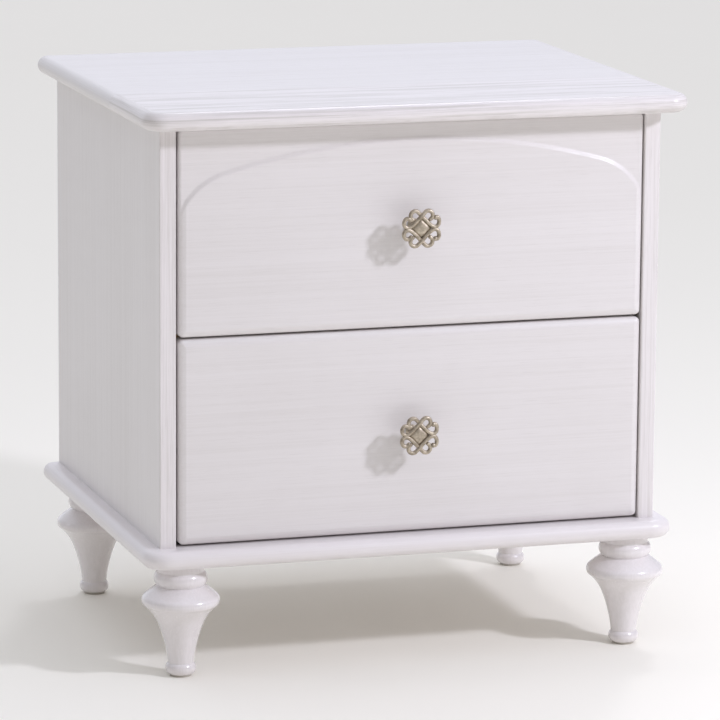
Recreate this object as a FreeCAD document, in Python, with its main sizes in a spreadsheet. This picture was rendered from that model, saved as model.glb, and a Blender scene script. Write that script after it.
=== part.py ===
# Nightstand with two drawers on turned legs, as an assembly of separate pieces.
# Frame: millimetres, +Z up, the floor at Z = 0, the front faces -Y, and the
# origin is the middle of the footprint. Every size comes from the sheet "Sizes".
import FreeCAD, Part
import os
import Sketcher

os.makedirs("parts", exist_ok=True)
doc = FreeCAD.newDocument("Nightstand")

# ---------------------------------------------------------------- driving sizes

SIZES = [
    # boards of the case
    ("case_width", 500), ("case_depth", 400), ("panel_height", 403), ("panel_thickness", 16),
    ("board_thickness", 18), ("edge_flat", 0.4), ("panel_ease", 1.2),
    ("top_side_overhang", 20.5), ("top_front_overhang", 32), ("back_overhang", 8),
    ("top_front_corner", 20), ("board_back_corner", 12),
    ("base_side_overhang", 17), ("base_front_overhang", 21), ("base_front_corner", 24),
    ("back_thickness", 5), ("rabbet_width", 8), ("rabbet_depth", 6), ("fit_gap", 0.3),
    ("rail_thickness", 16), ("rail_width", 60),
    # turned legs: radii, and heights above the floor
    ("leg_height", 110), ("leg_inset", 24), ("leg_front_setback", 13), ("leg_back_setback", 50),
    ("leg_top_radius", 21.8), ("leg_neck_radius", 22.6), ("leg_neck_height", 103),
    ("leg_bead_radius", 25.8), ("leg_bead_height", 96.2),
    ("leg_waist_radius", 22.9), ("leg_waist_height", 89.4),
    ("leg_crest_radius", 29.4), ("leg_crest_height", 84.6),
    ("leg_shoulder_radius", 34.6), ("leg_shoulder_height", 80.2),
    ("leg_bulb_radius", 37.6), ("leg_bulb_height", 74.6),
    ("leg_rim_radius", 36.6), ("leg_rim_height", 71),
    ("leg_cove_radius", 27), ("leg_cove_height", 61),
    ("leg_taper_radius", 21.2), ("leg_taper_height", 49.7),
    ("leg_shin_radius", 15.9), ("leg_shin_height", 33),
    ("leg_ankle_radius", 12.5), ("leg_ankle_height", 13),
    ("leg_foot_radius", 14.6), ("leg_foot_height", 6.5),
    ("leg_sole_radius", 11.6), ("glide_radius", 10.5), ("glide_height", 2),
    ("nail_radius", 1.2), ("nail_length", 14),
    # bolts, inserts, dowels and screws
    ("play", 0.05), ("bolt_radius", 4), ("bolt_in_leg", 32), ("bolt_length", 44),
    ("insert_radius", 5.5), ("insert_length", 13),
    ("dowel_radius", 4), ("dowel_length", 30), ("dowel_in_board", 11), ("dowel_margin", 60),
    ("rail_dowel_in_panel", 9.6), ("rail_dowel_margin", 15),
    ("box_dowel_radius", 3), ("box_dowel_length", 26), ("box_dowel_in_side", 8),
    ("box_dowel_margin", 32),
    ("screw_radius", 2), ("screw_head_radius", 4), ("screw_head_height", 1.4),
    ("panel_screw_depth", 12), ("side_screw_depth", 9), ("front_screw_depth", 14),
    ("front_screw_reach", 146), ("front_screw_margin", 32),
    ("back_screw_radius", 1.5), ("back_screw_head_radius", 3), ("back_screw_depth", 12),
    ("back_screw_margin", 30),
    # drawers
    ("front_thickness", 20), ("front_side_gap", 1.9), ("front_gap", 2.4),
    ("front_bottom_gap", 2),
    ("front_round", 5), ("front_corner", 3.5), ("relief_depth", 3),
    ("arch_side_rise", 112), ("arch_corner_reach", 216), ("arch_corner_rise", 137.6),
    ("arch_shoulder_reach", 187), ("arch_shoulder_rise", 153.8), ("arch_crown_rise", 179.5),
    ("box_board", 12), ("box_height", 130), ("box_lift", 20), ("box_length", 350),
    ("floor_thickness", 6), ("floor_lift", 10), ("groove_depth", 6),
    # slides
    ("slide_thickness", 12.7), ("slide_wall", 1.2), ("slide_length", 350), ("slide_setback", 22),
    ("slide_lift", 40), ("outer_half", 22.5), ("outer_reach", 9.6),
    ("middle_half", 17.6), ("middle_start", 3.4), ("middle_reach", 12),
    ("inner_half", 12), ("inner_reach", 6.2), ("slide_screw_margin", 35),
    # knobs
    ("knob_size", 39), ("knob_projection", 27), ("knob_head_thickness", 7),
    ("knob_rim_thickness", 4.4), ("knob_lobe_radius", 5.9), ("knob_eye_radius", 2.9),
    ("knob_diamond", 14), ("knob_hub_radius", 10.5), ("knob_hub_thickness", 3),
    ("knob_foot_radius", 6), ("knob_foot_height", 1.3),
    ("knob_flare_radius", 4.6), ("knob_flare_height", 2.8),
    ("knob_stem_radius", 3.8), ("knob_stem_low", 5.5), ("knob_stem_high", 14),
    ("knob_neck_radius", 5.6),
    ("knob_screw_in_stem", 10), ("knob_screw_head_radius", 4.5), ("knob_screw_head_height", 2.4),
]

sheet = doc.addObject("Spreadsheet::Sheet", "Sizes")
for row, size in enumerate(SIZES, start=1):
    sheet.set(f"A{row}", size[0])
    sheet.set(f"B{row}", str(size[1]))
    sheet.setAlias(f"B{row}", size[0])
doc.recompute()

# ------------------------------------------------------------- derived positions

TOP_WIDTH = "(Sizes.case_width + 2 * Sizes.top_side_overhang)"
TOP_DEPTH = "(Sizes.case_depth + Sizes.top_front_overhang + Sizes.back_overhang)"
BASE_WIDTH = "(Sizes.case_width + 2 * Sizes.base_side_overhang)"
BASE_DEPTH = "(Sizes.case_depth + Sizes.base_front_overhang + Sizes.back_overhang)"
CASE_FRONT = f"(Sizes.top_front_overhang - {TOP_DEPTH} / 2)"
CASE_BACK = f"({CASE_FRONT} + Sizes.case_depth)"
CASE_FLOOR = "(Sizes.leg_height + Sizes.board_thickness)"
CASE_TOP = f"({CASE_FLOOR} + Sizes.panel_height)"
INNER_HALF = "(Sizes.case_width / 2 - Sizes.panel_thickness)"
RABBET_FRONT = f"({CASE_BACK} - Sizes.rabbet_depth)"
LEG_X = "(Sizes.case_width / 2 - Sizes.leg_inset)"
LEG_FRONT_Y = f"({CASE_FRONT} + Sizes.leg_front_setback)"
LEG_BACK_Y = f"({CASE_BACK} - Sizes.leg_back_setback)"
FRONT_HALF = f"({INNER_HALF} - Sizes.front_side_gap)"
FRONT_HEIGHT = "((Sizes.panel_height - Sizes.front_bottom_gap - 2 * Sizes.front_gap) / 2)"
FRONT_BACK = f"({CASE_FRONT} + Sizes.front_thickness)"
BOX_HALF = f"({INNER_HALF} - Sizes.slide_thickness - Sizes.fit_gap)"
BOX_INNER_HALF = f"({BOX_HALF} - Sizes.box_board)"
SLIDE_FRONT = f"({CASE_FRONT} + Sizes.slide_setback)"
SLIDE_BACK = f"({SLIDE_FRONT} + Sizes.slide_length)"
RAIL_Z = f"({CASE_FLOOR} + Sizes.front_bottom_gap + {FRONT_HEIGHT} - Sizes.rail_thickness / 2)"
BACK_RAIL_FRONT = f"({RABBET_FRONT} - Sizes.rail_thickness)"

DRAWER_FLOORS = {
    "lower": f"({CASE_FLOOR} + Sizes.front_bottom_gap)",
    "upper": f"({CASE_FLOOR} + Sizes.front_bottom_gap + {FRONT_HEIGHT} + Sizes.front_gap)",
}
SIDES = {"left": -1, "right": 1}

# ------------------------------------------------------------------ small helpers

pieces = []


def value(expression):
    """The number that an expression over the sheet gives now."""
    return float(sheet.evalExpression(str(expression)))


def place(thing, x, y, z):
    """Put a sub-part where three expressions say."""
    for axis, expression in zip("xyz", (x, y, z)):
        thing.setExpression(f"Placement.Base.{axis}", str(expression))


def new_body(label, x, y, z):
    """A sub-part: its label is its file's name."""
    body = doc.addObject("PartDesign::Body", label)
    body.Label = label
    place(body, x, y, z)
    pieces.append(body)
    return body


def origin_feature(body, role):
    """The body's own origin plane or axis of that role."""
    return next(feature for feature in body.Origin.OriginFeatures if feature.Role == role)


def new_sketch(body, plane, offset):
    """An empty sketch on one of the body's own planes, moved along its normal."""
    sketch = body.newObject("Sketcher::SketchObject", f"{body.Name}_sketch")
    sketch.AttachmentSupport = (origin_feature(body, plane), [""])
    sketch.MapMode = "FlatFace"
    sketch.setExpression("AttachmentOffset.Base.z", str(offset))
    return sketch


def pin_point(sketch, shape_index, point_index, x, y):
    """Hold a point of the sketch at two expressions, or on an axis where one is "0"."""
    if x == "0" and y == "0":
        sketch.addConstraint(Sketcher.Constraint("Coincident", shape_index, point_index, -1, 1))
        return
    for kind, axis, expression in (("DistanceX", -2, x), ("DistanceY", -1, y)):
        if expression == "0":
            on_axis = Sketcher.Constraint("PointOnObject", shape_index, point_index, axis)
            sketch.addConstraint(on_axis)
            continue
        size = value(expression)
        index = sketch.addConstraint(
            Sketcher.Constraint(kind, -1, 1, shape_index, point_index, size))
        sketch.setExpression(f"Constraints[{index}]", str(expression))


def outline(body, plane, start, path, offset="0"):
    """A closed outline of lines (x, y) and three-point arcs (via_x, via_y, x, y)."""
    sketch = new_sketch(body, plane, offset)
    last = FreeCAD.Vector(value(start[0]), value(start[1]), 0)
    for step in path:
        end = FreeCAD.Vector(value(step[-2]), value(step[-1]), 0)
        if len(step) == 2:
            index = sketch.addGeometry(Part.LineSegment(last, end), False)
            near, far = 1, 2
        else:
            via = FreeCAD.Vector(value(step[0]), value(step[1]), 0)
            clockwise = (via - last).cross(end - via).z < 0
            arc = Part.Arc(end, via, last) if clockwise else Part.Arc(last, via, end)
            index = sketch.addGeometry(arc, False)
            near, far = (2, 1) if clockwise else (1, 2)
            mark = sketch.addGeometry(Part.Point(via), True)
            pin_point(sketch, mark, 1, step[0], step[1])
            sketch.addConstraint(Sketcher.Constraint("PointOnObject", mark, 1, index))
        if step is path[0]:
            pin_point(sketch, index, near, start[0], start[1])
            first = (index, near)
        else:
            sketch.addConstraint(Sketcher.Constraint("Coincident", *joint, index, near))
        joint = (index, far)
        if step is path[-1]:
            sketch.addConstraint(Sketcher.Constraint("Coincident", *joint, *first))
        else:
            pin_point(sketch, index, far, step[-2], step[-1])
        last = end
    return sketch


def rectangle(body, plane, x_low, y_low, x_high, y_high, offset="0"):
    """A rectangle between two corners."""
    path = [(x_high, y_low), (x_high, y_high), (x_low, y_high), (x_low, y_low)]
    return outline(body, plane, (x_low, y_low), path, offset)


def circles(body, plane, centres, radius, offset="0"):
    """A sketch of equal circles, one at each centre."""
    sketch = new_sketch(body, plane, offset)
    normal = FreeCAD.Vector(0, 0, 1)
    for x, y in centres:
        centre = FreeCAD.Vector(value(x), value(y), 0)
        index = sketch.addGeometry(Part.Circle(centre, normal, value(radius)), False)
        pin_point(sketch, index, 3, x, y)
        size = sketch.addConstraint(Sketcher.Constraint("Radius", index, value(radius)))
        sketch.setExpression(f"Constraints[{size}]", str(radius))
    return sketch


def pad(body, sketch, length, backwards=False):
    """Grow a sketch into solid, along its normal or backwards."""
    feature = body.newObject("PartDesign::Pad", f"{body.Name}_pad")
    feature.Profile = sketch
    feature.setExpression("Length", str(length))
    feature.Reversed = backwards
    body.Tip = feature
    return feature


def pocket(body, sketch, length, backwards=False):
    """Cut a sketch into the solid, against its normal or backwards, and see that it cut."""
    doc.recompute()
    before = body.Shape.Volume
    feature = body.newObject("PartDesign::Pocket", f"{body.Name}_pocket")
    feature.Profile = sketch
    feature.setExpression("Length", str(length))
    feature.Reversed = backwards
    body.Tip = feature
    doc.recompute()
    if body.Shape.Volume >= before - 1e-3:
        raise RuntimeError(f"a pocket of {body.Label} cuts nothing")
    return feature


def polar(body, feature, axis, count):
    """Repeat a feature round one of the body's own axes."""
    pattern = body.newObject("PartDesign::PolarPattern", f"{body.Name}_pattern")
    pattern.Originals = [feature]
    pattern.Axis = (origin_feature(body, axis), [""])
    pattern.Angle = 360
    pattern.Occurrences = count
    body.Tip = pattern
    return pattern


def round_edges(body, radius, test):
    """Fillet the edges whose bounding box passes a test."""
    doc.recompute()
    base = body.Tip
    names = []
    for number, edge in enumerate(base.Shape.Edges, start=1):
        if test(edge.BoundBox):
            names.append(f"Edge{number}")
    feature = body.newObject("PartDesign::Fillet", f"{body.Name}_round")
    feature.Base = (base, names)
    feature.setExpression("Radius", str(radius))
    body.Tip = feature
    return feature


def board(label, x, y, z, width, depth, height):
    """A plain board with its lower left front corner at x, y, z."""
    body = new_body(label, x, y, z)
    pad(body, rectangle(body, "XY_Plane", "0", "0", width, depth), height)
    return body


def upright(box, x, y):
    """True for a vertical edge at a place in plan."""
    return box.ZLength > 1 and abs(box.Center.x - x) < 0.1 and abs(box.Center.y - y) < 0.1


# --------------------------------------------------------------------- the case

def moulded_board(label, width, depth, front_corner, z, front_overhang):
    """A board with rounded corners in plan and a half-round edge all round."""
    body = board(label, f"-{width} / 2", f"{CASE_FRONT} - {front_overhang}", z,
                 width, depth, "Sizes.board_thickness")
    wide, deep, thick = value(width), value(depth), value("Sizes.board_thickness")
    round_edges(body, front_corner, lambda box: upright(box, 0, 0) or upright(box, wide, 0))
    round_edges(body, "Sizes.board_back_corner",
                lambda box: upright(box, 0, deep) or upright(box, wide, deep))
    round_edges(body, "Sizes.board_thickness / 2 - Sizes.edge_flat / 2",
                lambda box: flat_at(box, thick))
    return body


def flat_at(box, thick):
    """True for an edge that lies in the lower or upper face of a board."""
    return box.ZLength < 0.01 and min(abs(box.ZMin), abs(box.ZMin - thick)) < 0.01


def dowel_rows():
    """Depths of the three dowels in each panel end, from the panels' front edge."""
    middle = "Sizes.case_depth / 2"
    return ["Sizes.dowel_margin", middle, "Sizes.case_depth - Sizes.dowel_margin"]


def dowel_places(x_shift, y_shift):
    """Centres of all upright dowels, in a frame moved by two expressions."""
    centres = []
    for side in SIDES.values():
        x = f"{side} * (Sizes.case_width / 2 - Sizes.panel_thickness / 2) - {x_shift}"
        for row in dowel_rows():
            centres.append((x, f"{row} - {y_shift}"))
    return centres


def leg_places(x_shift, y_shift):
    """Centres of the four legs, in a frame moved by two expressions."""
    centres = []
    for side in SIDES.values():
        for row in (LEG_FRONT_Y, LEG_BACK_Y):
            centres.append((f"{side} * {LEG_X} - {x_shift}", f"{row} - {y_shift}"))
    return centres


DOWEL_BORE = "(Sizes.dowel_radius + Sizes.play)"
DOWEL_IN_PANEL = "(Sizes.dowel_length - Sizes.dowel_in_board)"


def make_top_board():
    body = moulded_board("top_board", TOP_WIDTH, TOP_DEPTH, "Sizes.top_front_corner",
                         CASE_TOP, "Sizes.top_front_overhang")
    centres = dowel_places(f"(-{TOP_WIDTH} / 2)", "(-Sizes.top_front_overhang)")
    holes = circles(body, "XY_Plane", centres, DOWEL_BORE)
    pocket(body, holes, "Sizes.dowel_in_board + Sizes.play", backwards=True)


def make_base_board():
    body = moulded_board("base_board", BASE_WIDTH, BASE_DEPTH, "Sizes.base_front_corner",
                         "Sizes.leg_height", "Sizes.base_front_overhang")
    left = f"(-{BASE_WIDTH} / 2)"
    centres = dowel_places(left, "(-Sizes.base_front_overhang)")
    top = "Sizes.board_thickness"
    pocket(body, circles(body, "XY_Plane", centres, DOWEL_BORE, top),
           "Sizes.dowel_in_board + Sizes.play")
    front = f"({CASE_FRONT} - Sizes.base_front_overhang)"
    bores = circles(body, "XY_Plane", leg_places(left, front),
                    "Sizes.insert_radius + Sizes.play")
    pocket(body, bores, "Sizes.insert_length + Sizes.play", backwards=True)


def slide_screw_places(floor):
    """Depth and height of the screws of one slide: from its back end, and its middle line."""
    last = "Sizes.slide_length - Sizes.slide_screw_margin"
    return [(f"-{depth}", floor) for depth in
            ("Sizes.slide_screw_margin", "Sizes.slide_length / 2", f"({last})")]


def back_screw_heights():
    """Heights of the back panel's screws above the case floor."""
    margin = "Sizes.back_screw_margin"
    return [margin, "Sizes.panel_height / 3", "Sizes.panel_height * 2 / 3",
            f"Sizes.panel_height - {margin}"]


def rail_dowel_places():
    """Depth and height of the rails' dowels, in the case's own frame."""
    middle = f"({RAIL_Z} + Sizes.rail_thickness / 2)"
    margin = "Sizes.rail_dowel_margin"
    across = (margin, f"(Sizes.rail_width - {margin})")
    centres = [(f"({SLIDE_FRONT} + {inward})", middle) for inward in across]
    depth = f"({BACK_RAIL_FRONT} + Sizes.rail_thickness / 2)"
    for down in across:
        centres.append((depth, f"({CASE_TOP} - {down})"))
    return centres


def make_side_panels():
    """Panels with a rabbet for the back, and bores for dowels and screws."""
    for name, side in SIDES.items():
        left = "(-Sizes.case_width / 2)" if side < 0 else INNER_HALF
        body = board(f"{name}_side_panel", left, CASE_FRONT, CASE_FLOOR,
                     "Sizes.panel_thickness", "Sizes.case_depth", "Sizes.panel_height")
        wide = value("Sizes.panel_thickness")
        round_edges(body, "Sizes.panel_ease",
                    lambda box: upright(box, 0, 0) or upright(box, wide, 0))
        inner = "Sizes.panel_thickness" if side < 0 else "0"
        ledge = f"({inner} - {-side} * Sizes.rabbet_width)"
        low, high = (ledge, inner) if side < 0 else (inner, ledge)
        rabbet = rectangle(body, "XY_Plane", low, "Sizes.case_depth - Sizes.rabbet_depth",
                           high, "Sizes.case_depth")
        pocket(body, rabbet, "Sizes.panel_height", backwards=True)
        centres = [("Sizes.panel_thickness / 2", row) for row in dowel_rows()]
        pocket(body, circles(body, "XY_Plane", centres, DOWEL_BORE),
               f"{DOWEL_IN_PANEL} + Sizes.play", backwards=True)
        pocket(body, circles(body, "XY_Plane", centres, DOWEL_BORE, "Sizes.panel_height"),
               f"{DOWEL_IN_PANEL} + Sizes.play")
        centres = [(f"{depth} - {CASE_FRONT}", f"{height} - {CASE_FLOOR}")
                   for depth, height in rail_dowel_places()]
        pocket(body, circles(body, "YZ_Plane", centres, DOWEL_BORE, inner),
               f"Sizes.rail_dowel_in_panel + Sizes.play", backwards=side > 0)
        centres = []
        for floor in DRAWER_FLOORS.values():
            height = f"{floor} + Sizes.box_lift + Sizes.slide_lift - {CASE_FLOOR}"
            centres += [(f"{SLIDE_BACK} - {CASE_FRONT} + {depth}", height)
                        for depth, height in slide_screw_places(height)]
        pocket(body, circles(body, "YZ_Plane", centres, "Sizes.screw_radius + Sizes.play", inner),
               "Sizes.panel_screw_depth + Sizes.play", backwards=side > 0)
        middle = f"({ledge} + {inner}) / 2"
        centres = [(middle, height) for height in back_screw_heights()]
        ledge_depth = "(Sizes.rabbet_depth - Sizes.case_depth)"
        pocket(body, circles(body, "XZ_Plane", centres,
                             "Sizes.back_screw_radius + Sizes.play", ledge_depth),
               "Sizes.back_screw_depth + Sizes.play", backwards=True)


def make_back_panel():
    half = f"({INNER_HALF} + Sizes.rabbet_width - Sizes.fit_gap)"
    body = board("back_panel", f"-{half}", RABBET_FRONT, CASE_FLOOR, f"2 * {half}",
                 "Sizes.back_thickness", "Sizes.panel_height")
    centres = []
    for side in SIDES.values():
        x = f"{half} + {side} * ({INNER_HALF} + Sizes.rabbet_width / 2)"
        centres += [(x, height) for height in back_screw_heights()]
    pocket(body, circles(body, "XZ_Plane", centres, "Sizes.back_screw_radius + Sizes.play"),
           "Sizes.back_thickness", backwards=False)


def rail(label, y, z, depth, height, dowels):
    """A cross rail between the side panels with dowel bores in both ends."""
    body = board(label, f"-{INNER_HALF}", y, z, f"2 * {INNER_HALF}", depth, height)
    length = f"(Sizes.dowel_length - Sizes.rail_dowel_in_panel + Sizes.play)"
    centres = [(f"{depth_at} - {y}", f"{height_at} - {z}") for depth_at, height_at in dowels]
    pocket(body, circles(body, "YZ_Plane", centres, DOWEL_BORE), length, backwards=True)
    pocket(body, circles(body, "YZ_Plane", centres, DOWEL_BORE, f"2 * {INNER_HALF}"), length)


def make_rails():
    dowels = rail_dowel_places()
    rail("middle_rail", SLIDE_FRONT, RAIL_Z, "Sizes.rail_width", "Sizes.rail_thickness",
         dowels[:2])
    rail("rear_top_rail", BACK_RAIL_FRONT, f"({CASE_TOP} - Sizes.rail_width)",
         "Sizes.rail_thickness", "Sizes.rail_width", dowels[2:])


def make_dowels():
    """All dowels of the case: upright ones in the panel ends, level ones in the rails."""
    body = new_body("carcass_dowels", "0", "0", "0")
    centres = dowel_places("0", f"(-{CASE_FRONT})")
    lows = (f"({CASE_FLOOR} - Sizes.dowel_in_board)", f"({CASE_TOP} - {DOWEL_IN_PANEL})")
    for low in lows:
        pad(body, circles(body, "XY_Plane", centres, "Sizes.dowel_radius", low),
            "Sizes.dowel_length")
    start = f"({INNER_HALF} + Sizes.rail_dowel_in_panel)"
    for offset, backwards in ((f"(-{start})", False), (start, True)):
        pad(body, circles(body, "YZ_Plane", rail_dowel_places(), "Sizes.dowel_radius", offset),
            "Sizes.dowel_length", backwards)


def make_back_screws():
    body = new_body("back_panel_screws", "0", "0", "0")
    centres = []
    for side in SIDES.values():
        x = f"{side} * ({INNER_HALF} + Sizes.rabbet_width / 2)"
        centres += [(x, f"{CASE_FLOOR} + {height}") for height in back_screw_heights()]
    face = f"(-({RABBET_FRONT} + Sizes.back_thickness))"
    pad(body, circles(body, "XZ_Plane", centres, "Sizes.back_screw_radius", face),
        "Sizes.back_thickness + Sizes.back_screw_depth")
    pad(body, circles(body, "XZ_Plane", centres, "Sizes.back_screw_head_radius", face),
        "Sizes.rabbet_depth - Sizes.back_thickness", backwards=True)


# --------------------------------------------------------------------- the legs

def leg_profile():
    """Half section of a leg, radius by height above its sole, from the sole upwards."""
    names = ("foot", "ankle", "shin", "taper", "cove", "rim", "bulb", "shoulder",
             "crest", "waist", "bead", "neck", "top")
    ring = {}
    for name in names:
        height = "Sizes.leg_height" if name == "top" else f"Sizes.leg_{name}_height"
        ring[name] = (f"Sizes.leg_{name}_radius", f"({height} - Sizes.glide_height)")
    return [
        ("Sizes.leg_sole_radius", "0"),
        ring["foot"] + ring["ankle"],
        ring["shin"] + ring["taper"],
        ring["cove"] + ring["rim"],
        ring["bulb"] + ring["shoulder"],
        ring["crest"] + ring["waist"],
        ring["bead"] + ring["neck"],
        ring["top"],
        ("0", ring["top"][1]),
        ("0", "0"),
    ]


def make_legs():
    """Four turned legs, each bored for its hanger bolt and for the nail of its glide."""
    for place_name, row in (("front", LEG_FRONT_Y), ("back", LEG_BACK_Y)):
        for name, side in SIDES.items():
            body = new_body(f"{place_name}_{name}_leg", f"{side} * {LEG_X}", row,
                            "Sizes.glide_height")
            sketch = outline(body, "XZ_Plane", ("0", "0"), leg_profile())
            turned = body.newObject("PartDesign::Revolution", f"{body.Name}_turned")
            turned.Profile = sketch
            turned.ReferenceAxis = (sketch, ["V_Axis"])
            turned.Angle = 360
            body.Tip = turned
            top = "Sizes.leg_height - Sizes.glide_height"
            pocket(body, circles(body, "XY_Plane", [("0", "0")],
                                 "Sizes.bolt_radius + Sizes.play", top),
                   "Sizes.bolt_in_leg + Sizes.play")
            pocket(body, circles(body, "XY_Plane", [("0", "0")],
                                 "Sizes.nail_radius + Sizes.play"),
                   "Sizes.nail_length + Sizes.play", backwards=True)


def make_glides():
    """A plastic disc with a nail under each foot."""
    for place_name, row in (("front", LEG_FRONT_Y), ("back", LEG_BACK_Y)):
        for name, side in SIDES.items():
            body = new_body(f"{place_name}_{name}_glide", f"{side} * {LEG_X}", row, "0")
            pad(body, circles(body, "XY_Plane", [("0", "0")], "Sizes.glide_radius"),
                "Sizes.glide_height")
            pad(body, circles(body, "XY_Plane", [("0", "0")], "Sizes.nail_radius"),
                "Sizes.glide_height + Sizes.nail_length")


def make_leg_bolts():
    """Hanger bolts from the legs up into the base board, and the inserts that hold them."""
    centres = leg_places("0", "0")
    bolts = new_body("leg_hanger_bolts", "0", "0", "Sizes.leg_height - Sizes.bolt_in_leg")
    pad(bolts, circles(bolts, "XY_Plane", centres, "Sizes.bolt_radius"), "Sizes.bolt_length")
    inserts = new_body("leg_threaded_inserts", "0", "0", "Sizes.leg_height")
    pad(inserts, circles(inserts, "XY_Plane", centres, "Sizes.insert_radius"),
        "Sizes.insert_length")
    bores = circles(inserts, "XY_Plane", centres, "Sizes.bolt_radius + Sizes.play")
    pocket(inserts, bores, "Sizes.insert_length", backwards=True)


# ------------------------------------------------------------------- the slides

def channel(label, side, floor, web, reach, half):
    """A rolled channel along the slide: its web at one depth, its flanges reaching to another.

    Depths are measured from the side panel towards the middle of the case.
    """
    body = new_body(label, f"{side} * {INNER_HALF}", SLIDE_BACK,
                    f"{floor} + Sizes.box_lift + Sizes.slide_lift")
    inward = 1 if value(reach) > value(web) else -1
    inner_web = f"({web} + {inward} * Sizes.slide_wall)"
    inner_half = f"({half} - Sizes.slide_wall)"
    corners = [(web, f"-{half}"), (reach, f"-{half}"), (reach, f"-{inner_half}"),
               (inner_web, f"-{inner_half}"), (inner_web, inner_half), (reach, inner_half),
               (reach, half), (web, half)]
    points = [(f"{-side} * {depth}", height) for depth, height in corners]
    sketch = outline(body, "XZ_Plane", points[0], points[1:] + points[:1])
    pad(body, sketch, "Sizes.slide_length")
    return body


def web_holes(body, side, web):
    """Screw holes through a channel's web, cut inwards from its outer face."""
    holes = circles(body, "YZ_Plane", slide_screw_places("0"),
                    "Sizes.screw_radius + Sizes.play", f"{-side} * {web}")
    pocket(body, holes, "Sizes.slide_wall", backwards=side < 0)


def make_slides(level, floor):
    """Cabinet, intermediate and drawer members on both sides of one drawer."""
    drawer_web = "Sizes.slide_thickness"
    drawer_end = "Sizes.inner_reach"
    for name, side in SIDES.items():
        outer = channel(f"{level}_{name}_cabinet_member", side, floor,
                        "0", "Sizes.outer_reach", "Sizes.outer_half")
        web_holes(outer, side, "0")
        channel(f"{level}_{name}_intermediate_member", side, floor,
                "Sizes.middle_start", "Sizes.middle_reach", "Sizes.middle_half")
        inner = channel(f"{level}_{name}_drawer_member", side, floor,
                        drawer_web, drawer_end, "Sizes.inner_half")
        web_holes(inner, side, f"({drawer_web} - Sizes.slide_wall)")


def pad_screws(body, centres, offset, shank_length, towards_plus_x):
    """Shanks one way and heads the other way from a plane across X."""
    pad(body, circles(body, "YZ_Plane", centres, "Sizes.screw_radius", offset),
        shank_length, backwards=not towards_plus_x)
    pad(body, circles(body, "YZ_Plane", centres, "Sizes.screw_head_radius", offset),
        "Sizes.screw_head_height", backwards=towards_plus_x)


def slide_screw_centres(floors):
    """Depth and height of all the screws of some slides, in the case's frame."""
    centres = []
    for floor in floors:
        height = f"{floor} + Sizes.box_lift + Sizes.slide_lift"
        centres += [(f"{SLIDE_BACK} + {along}", up) for along, up in slide_screw_places(height)]
    return centres


def make_cabinet_slide_screws():
    """Screws from inside the cabinet members into the side panels."""
    body = new_body("cabinet_slide_screws", "0", "0", "0")
    for side in SIDES.values():
        seat = f"{side} * ({INNER_HALF} - Sizes.slide_wall)"
        pad_screws(body, slide_screw_centres(DRAWER_FLOORS.values()), seat,
                   "Sizes.slide_wall + Sizes.panel_screw_depth", side > 0)


# ------------------------------------------------------------------ the drawers

def make_front(level, floor):
    """A drawer front, rounded at its face's edges; the upper one has the arch relief."""
    body = new_body(f"{level}_drawer_front", "0", FRONT_BACK, floor)
    face = rectangle(body, "XZ_Plane", f"-{FRONT_HALF}", "0", FRONT_HALF, FRONT_HEIGHT)
    pad(body, face, "Sizes.front_thickness")
    thick = value("Sizes.front_thickness")
    round_edges(body, "Sizes.front_corner", lambda box: box.YLength > 1)
    round_edges(body, "Sizes.front_round",
                lambda box: box.YLength < 0.01 and abs(box.YMin + thick) < 0.01)
    if level == "upper":
        cut_relief(body)
    bore_front(body, "0")


def cut_relief(body):
    """Sink everything above the arch by the relief's depth."""
    beyond = f"({FRONT_HALF} + Sizes.front_thickness)"
    above = f"({FRONT_HEIGHT} + Sizes.front_thickness)"
    side = (FRONT_HALF, "Sizes.arch_side_rise")
    corner = ("Sizes.arch_corner_reach", "Sizes.arch_corner_rise")
    shoulder = ("Sizes.arch_shoulder_reach", "Sizes.arch_shoulder_rise")
    crown = ("0", "Sizes.arch_crown_rise")

    def mirrored(point):
        return (f"-{point[0]}", point[1])

    path = [
        (FRONT_HALF, side[1]),
        corner + shoulder,
        crown + mirrored(shoulder),
        mirrored(corner) + mirrored(side),
        (f"-{beyond}", side[1]),
        (f"-{beyond}", above),
        (beyond, above),
        (beyond, side[1]),
    ]
    sketch = outline(body, "XZ_Plane", (beyond, side[1]), path, "Sizes.front_thickness")
    pocket(body, sketch, "Sizes.relief_depth")


def front_screw_places():
    """Sideways place and height of the screws that hold a front to its box."""
    centres = []
    margin = "Sizes.front_screw_margin"
    for side in SIDES.values():
        for rise in (margin, f"Sizes.box_height - {margin}"):
            centres.append((f"{side} * Sizes.front_screw_reach", f"Sizes.box_lift + {rise}"))
    return centres


def box_dowel_places(first_depth):
    """Depth and height of the dowels between a box's side and one of its end boards."""
    margin = "Sizes.box_dowel_margin"
    depth = f"({first_depth} + Sizes.box_board / 2)"
    return [(depth, margin), (depth, f"(Sizes.box_height - {margin})")]


KNOB_RISE = f"({FRONT_HEIGHT} / 2)"


def bore_front(body, back):
    """Blind bores for the fixing screws and a through bore for the knob screw."""
    pocket(body, circles(body, "XZ_Plane", front_screw_places(),
                         "Sizes.screw_radius + Sizes.play", back),
           "Sizes.front_screw_depth + Sizes.play", backwards=True)
    pocket(body, circles(body, "XZ_Plane", [("0", KNOB_RISE)],
                         "Sizes.screw_radius + Sizes.play", back),
           "Sizes.front_thickness", backwards=True)


BOX_DOWEL_BORE = "(Sizes.box_dowel_radius + Sizes.play)"


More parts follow.
